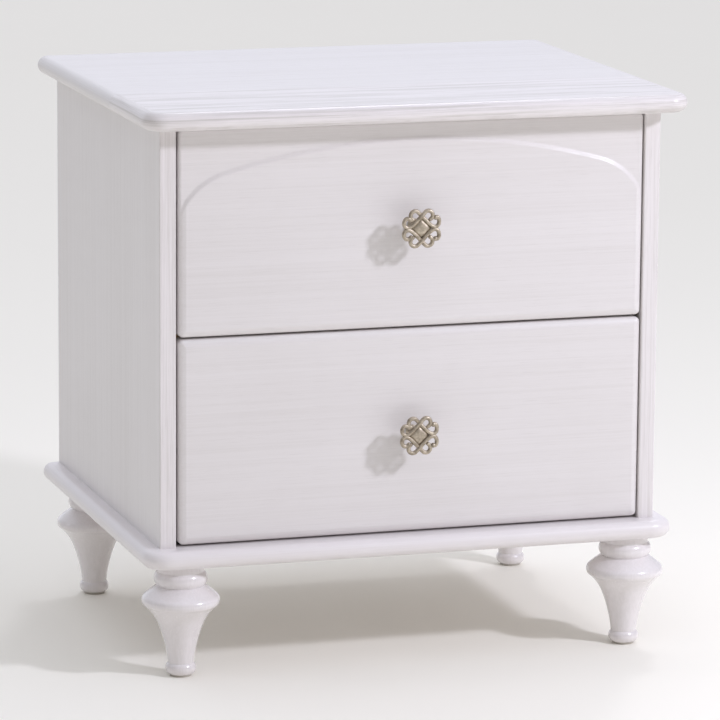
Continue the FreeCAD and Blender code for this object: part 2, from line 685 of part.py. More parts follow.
def bore_ends(body):
    """Dowel bores in both ends of a board across the drawer box."""
    length = "(Sizes.box_dowel_length - Sizes.box_dowel_in_side + Sizes.play)"
    centres = box_dowel_places("0")
    pocket(body, circles(body, "YZ_Plane", centres, BOX_DOWEL_BORE), length, backwards=True)
    pocket(body, circles(body, "YZ_Plane", centres, BOX_DOWEL_BORE, f"2 * {BOX_INNER_HALF}"),
           length)


def make_box(level, floor):
    """The drawer box: sides with grooves, inner front, back, and the floor in the grooves."""
    bottom = f"({floor} + Sizes.box_lift)"
    floor_low = "(Sizes.floor_lift)"
    floor_high = "(Sizes.floor_lift + Sizes.floor_thickness)"
    inner_back = "(Sizes.box_length - Sizes.box_board)"
    for name, side in SIDES.items():
        left = f"(-{BOX_HALF})" if side < 0 else BOX_INNER_HALF
        body = board(f"{level}_drawer_{name}_side", left, FRONT_BACK, bottom,
                     "Sizes.box_board", "Sizes.box_length", "Sizes.box_height")
        low, high = ("Sizes.box_board - Sizes.groove_depth", "Sizes.box_board")
        if side > 0:
            low, high = ("0", "Sizes.groove_depth")
        groove = rectangle(body, "XZ_Plane", low, floor_low, high, floor_high)
        pocket(body, groove, "Sizes.box_length", backwards=False)
        outer = "0" if side < 0 else "Sizes.box_board"
        centres = [(f"{SLIDE_BACK} - {FRONT_BACK} + {along}", up)
                   for along, up in slide_screw_places("Sizes.slide_lift")]
        pocket(body, circles(body, "YZ_Plane", centres, "Sizes.screw_radius + Sizes.play", outer),
               "Sizes.side_screw_depth + Sizes.play", backwards=side < 0)
        inner = "Sizes.box_board" if side < 0 else "0"
        centres = box_dowel_places("0") + box_dowel_places(inner_back)
        pocket(body, circles(body, "YZ_Plane", centres, BOX_DOWEL_BORE, inner),
               "Sizes.box_dowel_in_side + Sizes.play", backwards=side > 0)
    inner_front = board(f"{level}_drawer_inner_front", f"-{BOX_INNER_HALF}", FRONT_BACK, bottom,
                        f"2 * {BOX_INNER_HALF}", "Sizes.box_board", "Sizes.box_height")
    groove = rectangle(inner_front, "YZ_Plane", "Sizes.box_board - Sizes.groove_depth", floor_low,
                       "Sizes.box_board", floor_high)
    pocket(inner_front, groove, f"2 * {BOX_INNER_HALF}", backwards=True)
    shift = [(f"{x} + {BOX_INNER_HALF}", f"{up} - Sizes.box_lift")
             for x, up in front_screw_places() + [("0", KNOB_RISE)]]
    pocket(inner_front, circles(inner_front, "XZ_Plane", shift,
                                "Sizes.screw_radius + Sizes.play"), "Sizes.box_board")
    bore_ends(inner_front)
    back = board(f"{level}_drawer_back", f"-{BOX_INNER_HALF}",
                 f"{FRONT_BACK} + {inner_back}", bottom,
                 f"2 * {BOX_INNER_HALF}", "Sizes.box_board", "Sizes.box_height")
    groove = rectangle(back, "YZ_Plane", "0", floor_low, "Sizes.groove_depth", floor_high)
    pocket(back, groove, f"2 * {BOX_INNER_HALF}", backwards=True)
    bore_ends(back)
    reach = "(Sizes.groove_depth - Sizes.fit_gap)"
    board(f"{level}_drawer_floor", f"-({BOX_INNER_HALF} + {reach})",
          f"{FRONT_BACK} + Sizes.box_board - {reach}", f"{bottom} + {floor_low}",
          f"2 * ({BOX_INNER_HALF} + {reach})",
          f"{inner_back} - Sizes.box_board + 2 * {reach}", "Sizes.floor_thickness")


def make_box_dowels(level, floor):
    """Dowels that join the box's sides to its inner front and back."""
    body = new_body(f"{level}_drawer_dowels", "0", FRONT_BACK, f"{floor} + Sizes.box_lift")
    centres = box_dowel_places("0") + box_dowel_places("(Sizes.box_length - Sizes.box_board)")
    start = f"({BOX_INNER_HALF} + Sizes.box_dowel_in_side)"
    for offset, backwards in ((f"(-{start})", False), (start, True)):
        pad(body, circles(body, "YZ_Plane", centres, "Sizes.box_dowel_radius", offset),
            "Sizes.box_dowel_length", backwards)


def make_drawer_screws(level, floor):
    """Screws of the drawer members, and screws that hold the front."""
    body = new_body(f"{level}_drawer_slide_screws", "0", "0", "0")
    for side in SIDES.values():
        seat = f"{side} * ({INNER_HALF} - Sizes.slide_thickness + Sizes.slide_wall)"
        length = "Sizes.slide_wall + Sizes.fit_gap + Sizes.side_screw_depth"
        pad_screws(body, slide_screw_centres([floor]), seat, length, side < 0)
    body = new_body(f"{level}_front_screws", "0", f"{FRONT_BACK} + Sizes.box_board", floor)
    pad(body, circles(body, "XZ_Plane", front_screw_places(), "Sizes.screw_radius"),
        "Sizes.box_board + Sizes.front_screw_depth")
    pad(body, circles(body, "XZ_Plane", front_screw_places(), "Sizes.screw_head_radius"),
        "Sizes.screw_head_height", backwards=True)


# -------------------------------------------------------------------- the knobs

def make_knob_head(level, floor):
    """A four-fold openwork head: a raised diamond in a ring of eight pierced lobes."""
    back = f"{CASE_FRONT} - Sizes.knob_projection + Sizes.knob_head_thickness"
    body = new_body(f"{level}_knob_head", "0", back, f"{floor} + {KNOB_RISE}")
    eighth = "22.5 deg"
    ring = f"((Sizes.knob_size / 2 - Sizes.knob_lobe_radius) / cos({eighth}))"
    centre = [(f"{ring} * cos({eighth})", f"{ring} * sin({eighth})")]
    lobe = pad(body, circles(body, "XZ_Plane", centre, "Sizes.knob_lobe_radius"),
               "Sizes.knob_rim_thickness")
    polar(body, lobe, "Y_Axis", 8)
    pad(body, circles(body, "XZ_Plane", [("0", "0")], "Sizes.knob_hub_radius"),
        "Sizes.knob_hub_thickness")
    half = "(Sizes.knob_diamond / 2 * sqrt(2))"
    diamond = outline(body, "XZ_Plane", (half, "0"),
                      [("0", half), (f"-{half}", "0"), ("0", f"-{half}"), (half, "0")])
    pad(body, diamond, "Sizes.knob_head_thickness")
    eye = pocket(body, circles(body, "XZ_Plane", centre, "Sizes.knob_eye_radius"),
                 "Sizes.knob_rim_thickness", backwards=True)
    polar(body, eye, "Y_Axis", 8)


def make_knob_stem(level, floor):
    """A turned stem with a flared foot on the drawer front, bored for its screw."""
    length = "(Sizes.knob_projection - Sizes.knob_head_thickness)"
    body = new_body(f"{level}_knob_stem", "0", CASE_FRONT, f"{floor} + {KNOB_RISE}")
    path = [
        ("Sizes.knob_foot_radius", "0"),
        ("Sizes.knob_foot_radius", "-Sizes.knob_foot_height"),
        ("Sizes.knob_flare_radius", "-Sizes.knob_flare_height",
         "Sizes.knob_stem_radius", "-Sizes.knob_stem_low"),
        ("Sizes.knob_stem_radius", "-Sizes.knob_stem_high"),
        ("Sizes.knob_neck_radius", f"-{length}"),
        ("0", f"-{length}"),
        ("0", "0"),
    ]
    sketch = outline(body, "XY_Plane", ("0", "0"), path)
    turned = body.newObject("PartDesign::Revolution", f"{body.Name}_turned")
    turned.Profile = sketch
    turned.ReferenceAxis = (sketch, ["V_Axis"])
    turned.Angle = 360
    body.Tip = turned
    pocket(body, circles(body, "XZ_Plane", [("0", "0")], "Sizes.screw_radius + Sizes.play"),
           "Sizes.knob_screw_in_stem + Sizes.play", backwards=True)


def make_knob_screw(level, floor):
    """The screw that pulls the knob onto the front from inside the drawer."""
    body = new_body(f"{level}_knob_screw", "0", f"{FRONT_BACK} + Sizes.box_board",
                    f"{floor} + {KNOB_RISE}")
    pad(body, circles(body, "XZ_Plane", [("0", "0")], "Sizes.screw_radius"),
        "Sizes.box_board + Sizes.front_thickness + Sizes.knob_screw_in_stem")
    pad(body, circles(body, "XZ_Plane", [("0", "0")], "Sizes.knob_screw_head_radius"),
        "Sizes.knob_screw_head_height", backwards=True)


# --------------------------------------------------------------------- assembly

make_top_board()
make_base_board()
make_side_panels()
make_back_panel()
make_rails()
make_dowels()
make_back_screws()
make_legs()
make_glides()
make_leg_bolts()
make_cabinet_slide_screws()
for level_name, level_floor in DRAWER_FLOORS.items():
    make_slides(level_name, level_floor)
    make_front(level_name, level_floor)
    make_box(level_name, level_floor)
    make_box_dowels(level_name, level_floor)
    make_drawer_screws(level_name, level_floor)
    make_knob_head(level_name, level_floor)
    make_knob_stem(level_name, level_floor)
    make_knob_screw(level_name, level_floor)
doc.recompute()

for thing in doc.Objects:
    if "Invalid" in thing.State or "Error" in thing.State:
        raise RuntimeError(f"{thing.Name} failed: {thing.State}")
for piece in pieces:
    if piece.Shape.isNull() or not piece.Shape.isValid() or not piece.Shape.Solids:
        raise RuntimeError(f"{piece.Label} has no good shape")
for piece in pieces:
    piece.Shape.exportStep(f"parts/{piece.Label}.step")
    print(piece.Label, len(piece.Shape.Solids), round(piece.Shape.Volume))
print(len(pieces), "sub-parts")
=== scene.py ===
import math
import bmesh
import bpy
import numpy as np
from mathutils import Matrix, Vector


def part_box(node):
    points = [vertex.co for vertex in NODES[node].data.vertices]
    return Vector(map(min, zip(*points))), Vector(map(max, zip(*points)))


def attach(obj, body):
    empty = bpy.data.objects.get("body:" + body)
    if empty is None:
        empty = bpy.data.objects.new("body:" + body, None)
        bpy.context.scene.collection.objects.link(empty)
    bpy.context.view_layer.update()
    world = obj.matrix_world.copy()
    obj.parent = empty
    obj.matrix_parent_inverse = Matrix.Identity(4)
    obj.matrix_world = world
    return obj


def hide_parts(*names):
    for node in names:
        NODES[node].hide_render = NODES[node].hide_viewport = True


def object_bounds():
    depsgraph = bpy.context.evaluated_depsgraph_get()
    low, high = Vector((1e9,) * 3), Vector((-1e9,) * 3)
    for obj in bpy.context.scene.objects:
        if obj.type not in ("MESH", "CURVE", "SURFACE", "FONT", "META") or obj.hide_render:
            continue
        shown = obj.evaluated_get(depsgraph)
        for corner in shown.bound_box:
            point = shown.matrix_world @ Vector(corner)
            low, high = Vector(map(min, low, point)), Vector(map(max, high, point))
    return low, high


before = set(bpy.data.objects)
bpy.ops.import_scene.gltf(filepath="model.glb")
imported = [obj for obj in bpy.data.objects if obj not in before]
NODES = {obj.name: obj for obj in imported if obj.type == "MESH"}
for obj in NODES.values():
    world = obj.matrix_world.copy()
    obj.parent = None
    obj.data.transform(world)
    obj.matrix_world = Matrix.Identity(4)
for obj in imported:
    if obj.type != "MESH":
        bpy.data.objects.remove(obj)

CAD_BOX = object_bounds()
scene = bpy.context.scene
MM = 0.001


# ------------------------------------------------------------------ camera, light

def add_camera(aim, distance, yaw, pitch, roll, lens):
    """A camera that looks at a point from a distance; angles are in degrees."""
    turn = math.radians(yaw)
    tilt = math.radians(pitch)
    forward = Vector((math.sin(turn) * math.cos(tilt),
                      math.cos(turn) * math.cos(tilt),
                      -math.sin(tilt)))
    right = Vector((math.cos(turn), -math.sin(turn), 0.0))
    up = right.cross(forward)
    lean = math.radians(roll)
    tilted_right = right * math.cos(lean) + up * math.sin(lean)
    tilted_up = up * math.cos(lean) - right * math.sin(lean)
    data = bpy.data.cameras.new("camera")
    data.lens = lens
    data.clip_end = 100.0
    camera = bpy.data.objects.new("camera", data)
    axes = Matrix((tilted_right, tilted_up, -forward)).transposed()
    camera.matrix_world = Matrix.Translation(aim - forward * distance) @ axes.to_4x4()
    scene.collection.objects.link(camera)
    scene.camera = camera


def add_sun(name, travel, strength, spread, colour):
    """A lamp of parallel light that travels in a direction; spread is in degrees."""
    data = bpy.data.lights.new(name, "SUN")
    data.energy = strength
    data.angle = math.radians(spread)
    data.color = colour
    lamp = bpy.data.objects.new(name, data)
    lamp.rotation_euler = Vector(travel).to_track_quat("-Z", "Y").to_euler()
    scene.collection.objects.link(lamp)


def add_lamp(name, place, aim, power, size, colour):
    """A square area lamp at a place, turned towards a point."""
    data = bpy.data.lights.new(name, "AREA")
    data.energy = power
    data.size = size
    data.color = colour
    lamp = bpy.data.objects.new(name, data)
    lamp.location = place
    lamp.rotation_euler = (aim - place).to_track_quat("-Z", "Y").to_euler()
    scene.collection.objects.link(lamp)


def add_world(base, panels):
    """A studio surround: an even base, and soft panels as (direction, tightness, colour)."""
    world = bpy.data.worlds.new("studio")
    scene.world = world
    world.use_nodes = True
    tree = world.node_tree
    towards = tree.nodes.new("ShaderNodeTexCoord").outputs["Generated"]
    total = tuple(base)
    for direction, tightness, colour in panels:
        facing = tree.nodes.new("ShaderNodeVectorMath")
        facing.operation = "DOT_PRODUCT"
        tree.links.new(towards, facing.inputs[0])
        facing.inputs[1].default_value = Vector(direction).normalized()
        lit = tree.nodes.new("ShaderNodeMath")
        lit.operation = "MAXIMUM"
        tree.links.new(facing.outputs["Value"], lit.inputs[0])
        lit.inputs[1].default_value = 0.0
        soft = tree.nodes.new("ShaderNodeMath")
        soft.operation = "POWER"
        tree.links.new(lit.outputs[0], soft.inputs[0])
        soft.inputs[1].default_value = tightness
        tinted = tree.nodes.new("ShaderNodeVectorMath")
        tinted.operation = "MULTIPLY_ADD"
        tree.links.new(soft.outputs[0], tinted.inputs[0])
        tinted.inputs[1].default_value = colour
        if isinstance(total, tuple):
            tinted.inputs[2].default_value = total
        else:
            tree.links.new(total, tinted.inputs[2])
        total = tinted.outputs["Vector"]
    tree.links.new(total, tree.nodes["Background"].inputs["Color"])


# the plane of the side panels' front edges
FRONT_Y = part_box("left_side_panel")[0].y
add_camera(aim=Vector((-0.0524, FRONT_Y, 0.3007)), distance=4.387,
           yaw=17.54, pitch=11.21, roll=0.43, lens=230.0)
FRONT_MIDDLE = Vector((0.0, FRONT_Y, 0.3))
KEY_DIRECTION = Vector((0.617, -0.595, 0.515))
KEY_DISTANCE = 2.5
add_lamp("key", FRONT_MIDDLE + KEY_DIRECTION * KEY_DISTANCE, FRONT_MIDDLE,
         power=28.5, size=0.24, colour=(0.98, 0.985, 1.135))
add_sun("back", travel=(-0.30, -0.55, -0.78), strength=0.27, spread=7.0,
        colour=(0.985, 0.99, 1.08))
add_sun("left", travel=(0.896, -0.24, -0.375), strength=0.12, spread=5.0,
        colour=(0.985, 0.99, 1.08))
add_world(base=(0.050, 0.051, 0.055), panels=[
    ((0, 0, 1), 2.0, (0.945, 0.96, 1.065)),
    ((0, 1, 0.2), 3.0, (0.90, 0.93, 1.015)),
    ((0, -1, 0.2), 2.0, (0.200, 0.178, 0.146)),
    ((1, 0, 0.2), 2.0, (0.12, 0.11, 0.118)),
])
scene.view_settings.view_transform = "Standard"
scene.view_settings.look = "None"


# --------------------------------------------------------------- node helpers

class Net:
    """A material's node tree with short calls for the nodes it needs."""

    def __init__(self, name):
        self.material = bpy.data.materials.new(name)
        self.material.use_nodes = True
        self.tree = self.material.node_tree
        self.shader = self.tree.nodes["Principled BSDF"]
        coordinates = self.tree.nodes.new("ShaderNodeTexCoord")
        self.place = coordinates.outputs["Object"]

    def node(self, kind, inputs=None, **settings):
        """A node with its settings and inputs, each a value or another node's output."""
        node = self.tree.nodes.new(kind)
        for name, setting in settings.items():
            setattr(node, name, setting)
        for key, item in (inputs or {}).items():
            self.feed(node.inputs[key], item)
        return node

    def feed(self, socket, item):
        """Give a socket a value or a link."""
        if isinstance(item, bpy.types.NodeSocket):
            self.tree.links.new(item, socket)
        else:
            socket.default_value = item

    def math(self, operation, *inputs):
        """The result of a math node."""
        node = self.node("ShaderNodeMath", operation=operation)
        for socket, item in zip(node.inputs, inputs):
            self.feed(socket, item)
        return node.outputs[0]

    def vector(self, operation, *inputs):
        """The result of a vector math node."""
        node = self.node("ShaderNodeVectorMath", operation=operation)
        for socket, item in zip(node.inputs, inputs):
            self.feed(socket, item)
        kind = "Value" if operation in ("LENGTH", "DOT_PRODUCT") else "Vector"
        return node.outputs[kind]

    def split(self, vector):
        """The three parts of a vector."""
        return self.node("ShaderNodeSeparateXYZ", {"Vector": vector}).outputs

    def join(self, x, y, z):
        """A vector from three parts."""
        return self.node("ShaderNodeCombineXYZ", {"X": x, "Y": y, "Z": z}).outputs[0]

    def noise(self, vector, scale=1.0, detail=3.0, rough=0.55, distortion=0.0):
        """A noise value from 0 to 1."""
        inputs = {"Vector": vector, "Scale": scale, "Detail": detail, "Roughness": rough,
                  "Distortion": distortion}
        return self.node("ShaderNodeTexNoise", inputs).outputs["Fac"]

    def span(self, value, low, high, to_low=0.0, to_high=1.0):
        """A value mapped from one range to another, held inside it."""
        inputs = {"Value": value, "From Min": low, "From Max": high,
                  "To Min": to_low, "To Max": to_high}
        return self.node("ShaderNodeMapRange", inputs, clamp=True).outputs[0]

    def blend(self, factor, first, second):
        """Two colours mixed by a factor."""
        node = self.node("ShaderNodeMix", data_type="RGBA")
        colour_inputs = [socket for socket in node.inputs if socket.type == "RGBA"]
        self.feed(node.inputs[0], factor)
        self.feed(colour_inputs[0], first)
        self.feed(colour_inputs[1], second)
        return next(socket for socket in node.outputs if socket.type == "RGBA")

    def finish(self, colour, roughness, height, depth, strength=1.0, **fixed):
        """Connect colour, roughness and a height in metres to the shader."""
        self.feed(self.shader.inputs["Base Color"], colour)
        self.feed(self.shader.inputs["Roughness"], roughness)
        bump = self.node("ShaderNodeBump", {"Height": height, "Distance": depth,
                                            "Strength": strength})
        self.feed(self.shader.inputs["Normal"], bump.outputs["Normal"])
        for name, setting in fixed.items():
            self.shader.inputs[name].default_value = setting
        return self.material


def rgb(red, green, blue):
    """A linear colour from sRGB values of 0 to 255."""
    def linear(part):
        part /= 255.0
        return part / 12.92 if part <= 0.04045 else ((part + 0.055) / 1.055) ** 2.4
    return (linear(red), linear(green), linear(blue), 1.0)


# ------------------------------------------------------------------ materials

LACQUER = rgb(231, 227, 226)
LACQUER_WORN = rgb(212, 207, 203)
LACQUER_BRIGHT = rgb(239, 234, 234)
PORE = rgb(182, 175, 170)

# scale of the bold grain across the boards, and across the narrow edges of the uprights
BOARD_FIGURE = 125.0
UPRIGHT_FIGURE = 330.0

# the bold grain of the uprights fades out between these distances behind their front edges
EDGE_BAND = (0.5 * MM, 1.5 * MM)
EDGE_BOLDNESS = 0.75


def grain_scale(along, low, high):
    """Noise scales, few per metre along the grain and many across it."""
    return tuple(low if axis == along else high for axis in "XYZ")


def lacquer_from(net, stretched, contrast, base=LACQUER, band=None,
                 figure_scale=BOARD_FIGURE):
    """White lacquer over brushed wood; stretched gives the place scaled along the grain.

    Where a band is given, its part of the surface is brighter and boldly grained.
    """
    streaks = net.noise(stretched(3.0, 430.0), detail=3.0, rough=0.65)
    fine = net.noise(stretched(9.0, 1300.0), detail=2.0, rough=0.5)
    broad = net.noise(stretched(1.2, 38.0), detail=2.0, rough=0.5)
    pores = net.span(net.noise(stretched(38.0, 1900.0), detail=1.0), 0.62, 0.72)
    clouds = net.noise(net.place, scale=9.0, detail=2.0)
    worn = net.math("ADD", net.span(streaks, 0.42, 0.72, 0.0, 0.45),
                    net.span(broad, 0.35, 0.75, 0.0, 0.35))
    worn = net.math("MULTIPLY", worn, contrast)
    worn = net.math("ADD", worn, net.span(clouds, 0.35, 0.7, 0.0, 0.10))
    pore_depth = 0.30 * contrast
    if band is not None:
        base = net.blend(band, base, LACQUER_BRIGHT)
        figure = net.noise(stretched(4.0, figure_scale), detail=5.0, rough=0.75, distortion=0.25)
        bold = net.math("MULTIPLY", net.span(figure, 0.46, 0.60, 0.0, 1.0), contrast)
        worn = net.math("ADD", net.math("MULTIPLY", worn, 0.6), net.math("MULTIPLY", bold, band))
    colour = net.blend(worn, base, LACQUER_WORN)
    colour = net.blend(net.math("MULTIPLY", pores, pore_depth), colour, PORE)
    height = net.math("ADD", net.math("MULTIPLY", streaks, 0.75), net.math("MULTIPLY", fine, 0.35))
    height = net.math("SUBTRACT", height, net.math("MULTIPLY", pores, 0.45))
    roughness = net.span(streaks, 0.3, 0.7, 0.30, 0.44)
    return net.finish(colour, roughness, height, 0.00022 * contrast, 0.75, **{
        "Specular IOR Level": 0.5, "Coat Weight": 0.25, "Coat Roughness": 0.16})


def lacquer(name, along, contrast, front_edge=False):
    """Lacquer with its grain along one axis; a front_edge is cut across open, bolder grain."""
    net = Net(name)

    def stretched(low, high):
        return net.vector("MULTIPLY", net.place, grain_scale(along, low, high))
    band = None
    if front_edge:
        band = net.span(net.split(net.place)[1], FRONT_Y + EDGE_BAND[0], FRONT_Y + EDGE_BAND[1],
                        EDGE_BOLDNESS, 0.0)
    return lacquer_from(net, stretched, contrast, band=band, figure_scale=UPRIGHT_FIGURE)


# how much finer the grain is round a moulded edge than on the flat
EDGE_GRAIN = 3.0
# half the width over which the flat grain passes into the edge's, and over the glued seam
EDGE_BLEND = 0.5 * MM
SEAM_BLEND = 1.0 * MM
# where the noise is sliced for the edge
EDGE_SLICE = 0.37


def edged_lacquer(name, node, corner, edge, contrast, base=LACQUER, front_board=0.0):
    """Lacquer for a moulded board: grain along X inside, and round the outline at its edge.

    A front_board is the depth of the brighter board that is glued along the front.
    """
    net = Net(name)
    low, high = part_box(node)
    middle = (low + high) / 2
    half = (high - low) / 2
    x, y, z = net.split(net.vector("SUBTRACT", net.place, tuple(middle)))
    beyond_x = net.math("SUBTRACT", net.math("ABSOLUTE", x), half.x - corner)
    beyond_y = net.math("SUBTRACT", net.math("ABSOLUTE", y), half.y - corner)
    outside = net.vector("LENGTH", net.join(net.math("MAXIMUM", beyond_x, 0.0),
                                            net.math("MAXIMUM", beyond_y, 0.0), 0.0))
    inside = net.math("MINIMUM", net.math("MAXIMUM", beyond_x, beyond_y), 0.0)
    rim = net.math("SUBTRACT", net.math("ADD", outside, inside), corner)
    is_edge = net.span(rim, -edge - EDGE_BLEND, -edge + EDGE_BLEND)
    profile = net.math("SUBTRACT", z, rim)
    run = net.math("ADD", x, y)

    def stretched(few, many):
        round_edge = net.join(net.math("MULTIPLY", run, few),
                              net.math("MULTIPLY", profile, EDGE_GRAIN * many), EDGE_SLICE)
        flat = net.vector("MULTIPLY", net.place, grain_scale("X", few, many))
        mix = net.node("ShaderNodeMix", {"Factor": is_edge}, data_type="VECTOR")
        first, second = [socket for socket in mix.inputs if socket.type == "VECTOR"][1:]
        net.feed(first, flat)
        net.feed(second, round_edge)
        return next(socket for socket in mix.outputs if socket.type == "VECTOR")

    band = None
    if front_board:
        seam = front_board - half.y
        band = net.span(y, seam - SEAM_BLEND, seam + SEAM_BLEND, 1.0, 0.0)
    return lacquer_from(net, stretched, contrast, base, band)


def turned_lacquer(name):
    """Thicker, glossier lacquer on turned wood, with a faint grain under it."""
    net = Net(name)
    grain = net.noise(net.vector("MULTIPLY", net.place, (420.0, 420.0, 9.0)), detail=3.0)
    peel = net.noise(net.place, scale=330.0, detail=1.0)
    colour = net.blend(net.span(grain, 0.35, 0.75, 0.0, 0.3), LACQUER_BRIGHT, LACQUER_WORN)
    height = net.math("ADD", net.math("MULTIPLY", grain, 0.3), net.math("MULTIPLY", peel, 0.4))
    roughness = net.span(grain, 0.2, 0.8, 0.20, 0.30)
    return net.finish(colour, roughness, height, 0.00002, 0.5, **{
        "Specular IOR Level": 0.6, "Coat Weight": 0.7, "Coat Roughness": 0.08})


def bare_wood(name, along, light, dark):
    """Clear matt lacquer on a pale wood with soft growth bands."""
    net = Net(name)
    place = net.vector("MULTIPLY", net.place, grain_scale(along, 2.2, 26.0))
    bands = net.noise(place, scale=1.0, detail=4.0, rough=0.6, distortion=0.6)
    fibres = net.noise(net.vector("MULTIPLY", net.place, grain_scale(along, 14.0, 1100.0)),
                       detail=3.0)
    flecks = net.span(net.noise(net.vector("MULTIPLY", net.place,
                                           grain_scale(along, 60.0, 1500.0)), detail=1.0),
                      0.64, 0.74)
    factor = net.math("ADD", net.span(bands, 0.3, 0.7, 0.0, 0.6),
                      net.span(fibres, 0.35, 0.75, 0.0, 0.35))
    colour = net.blend(factor, light, dark)
    colour = net.blend(net.math("MULTIPLY", flecks, 0.4), colour, rgb(142, 108, 74))
    height = net.math("SUBTRACT", fibres, net.math("MULTIPLY", flecks, 0.5))
    roughness = net.span(fibres, 0.3, 0.7, 0.48, 0.62)
    return net.finish(colour, roughness, height, 0.00012, 0.6)


def pewter(name):
    """Antique pewter: a worn satin metal with darker patina in its clouds."""
    net = Net(name)
    patina = net.noise(net.place, scale=210.0, detail=4.0, rough=0.65)
    specks = net.noise(net.place, scale=1500.0, detail=2.0)
    factor = net.math("ADD", net.span(patina, 0.38, 0.66, 0.0, 0.75),
                      net.span(specks, 0.5, 0.7, 0.0, 0.2))
    colour = net.blend(factor, rgb(201, 190, 172), rgb(139, 128, 111))
    roughness = net.span(patina, 0.3, 0.7, 0.38, 0.56)
    height = net.math("ADD", net.math("MULTIPLY", patina, 0.6), net.math("MULTIPLY", specks, 0.3))
    return net.finish(colour, roughness, height, 0.00010, 0.7, Metallic=1.0)


def rolled_steel(name, light, dark, along="Y"):
    """Zinc-plated steel with faint rolling lines and a spangled plating."""
    net = Net(name)
    lines = net.noise(net.vector("MULTIPLY", net.place, grain_scale(along, 6.0, 1500.0)),
                      detail=2.0)
    spangle = net.node("ShaderNodeTexVoronoi", {"Vector": net.place, "Scale": 260.0})
    tint = net.split(spangle.outputs["Color"])[0]
    factor = net.math("ADD", net.span(lines, 0.35, 0.7, 0.0, 0.4), net.math("MULTIPLY", tint, 0.25))
    colour = net.blend(factor, light, dark)
    roughness = net.span(lines, 0.3, 0.7, 0.24, 0.40)
    return net.finish(colour, roughness, lines, 0.00005, 0.5, Metallic=1.0)


def moulded_plastic(name):
    """Pale moulded plastic with a fine spark-eroded texture."""
    net = Net(name)
    grit = net.noise(net.place, scale=1800.0, detail=2.0)
    clouds = net.noise(net.place, scale=60.0, detail=2.0)
    colour = net.blend(clouds, rgb(205, 200, 190), rgb(188, 182, 172))
    roughness = net.span(grit, 0.3, 0.7, 0.42, 0.6)
    return net.finish(colour, roughness, grit, 0.00006, 0.6)


def studio_floor(name):
    """A plain pale floor with a barely visible texture."""
    net = Net(name)
    clouds = net.noise(net.place, scale=1.3, detail=2.0)
    grit = net.noise(net.place, scale=240.0, detail=2.0)
    colour = net.blend(clouds, (0.965, 0.943, 0.862, 1.0), (0.95, 0.928, 0.848, 1.0))
    return net.finish(colour, 0.85, grit, 0.0001, 0.2, **{"Specular IOR Level": 0.1})


BOARD_EDGE = 10.5 * MM
TOP_CORNER = 20.0 * MM
TOP_FRONT_BOARD = 140.0 * MM
BASE_CORNER = 24.0 * MM
BIRCH = rgb(222, 197, 158)
BIRCH_BAND = rgb(198, 168, 126)
MATERIALS = {
    "top": edged_lacquer("lacquer_top", "top_board", TOP_CORNER, BOARD_EDGE, 0.85,
                         front_board=TOP_FRONT_BOARD),
    # painted light: the base board takes the brighter copy of the white lacquer, which stands in
    # for the fill it gets from the floor and the front
    "base": edged_lacquer("lacquer_base", "base_board", BASE_CORNER, BOARD_EDGE, 0.35,
                          LACQUER_BRIGHT),
    "upright": lacquer("lacquer_upright", "Z", 0.62, front_edge=True),
    "front": lacquer("lacquer_front", "X", 0.45),
    "leg": turned_lacquer("lacquer_turned"),
    "box_long": bare_wood("birch_long", "Y", BIRCH, BIRCH_BAND),
    "box_cross": bare_wood("birch_cross", "X", BIRCH, BIRCH_BAND),
    "beech": bare_wood("beech", "Z", rgb(205, 165, 125), rgb(178, 134, 96)),
    "pewter": pewter("pewter"),
    "slide": rolled_steel("slide_steel", rgb(200, 203, 206), rgb(165, 168, 172)),
    "screw": rolled_steel("screw_steel", rgb(186, 186, 184), rgb(140, 139, 136), "X"),
    "glide": moulded_plastic("glide_plastic"),
}


def material_for(name):
    """The material of a CAD node, from its name."""
    plain = {"top_board": "top", "base_board": "base",
             "middle_rail": "box_cross", "rear_top_rail": "box_cross"}
    endings = [("_dowels", "beech"), ("_screws", "screw"), ("_screw", "screw"), ("_bolts", "screw"),
               ("_inserts", "screw"), ("_member", "slide"), ("_glide", "glide"),
               ("_leg", "leg"), ("_knob_head", "pewter"), ("_knob_stem", "pewter"),
               ("side_panel", "upright"), ("back_panel", "upright"),
               ("_inner_front", "box_cross"), ("drawer_front", "front"),
               ("_drawer_back", "box_cross"), ("_drawer_floor", "box_cross"),
               ("_side", "box_long")]
    if name in plain:
        return MATERIALS[plain[name]]
    return MATERIALS[next(kind for ending, kind in endings if name.endswith(ending))]


for node_name, node_object in NODES.items():
    node_object.data.materials.clear()
    node_object.data.materials.append(material_for(node_name))


# ------------------------------------------------------------------ mesh pieces

def mesh_piece(name, points, faces, kind, body, replaces, crease=40.0):
    """A new piece from points and faces, with its material and body, in place of a CAD node, which
    it hides.
    """
    mesh = bpy.data.meshes.new(name)
    mesh.from_pydata([tuple(point) for point in points], [], faces)
    mesh.validate()
    shape = bmesh.new()
    shape.from_mesh(mesh)
    bmesh.ops.recalc_face_normals(shape, faces=shape.faces)
    shape.to_mesh(mesh)
    shape.free()
    mesh.polygons.foreach_set("use_smooth", [True] * len(mesh.polygons))
    mesh.set_sharp_from_angle(angle=math.radians(crease))
    mesh.materials.append(MATERIALS[kind])
    piece = bpy.data.objects.new(name, mesh)
    scene.collection.objects.link(piece)
    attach(piece, body)
    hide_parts(replaces)


def spaced(length, fine, fine_width, coarse):
    """Positions along a length, finely spaced near both ends."""
    edge = np.linspace(0.0, fine_width, int(round(fine_width / fine)) + 1)
    inner = np.linspace(fine_width, length - fine_width,
                        int(round((length - 2 * fine_width) / coarse)) + 1)
    return np.concatenate([edge[:-1], inner, length - edge[::-1][1:]])


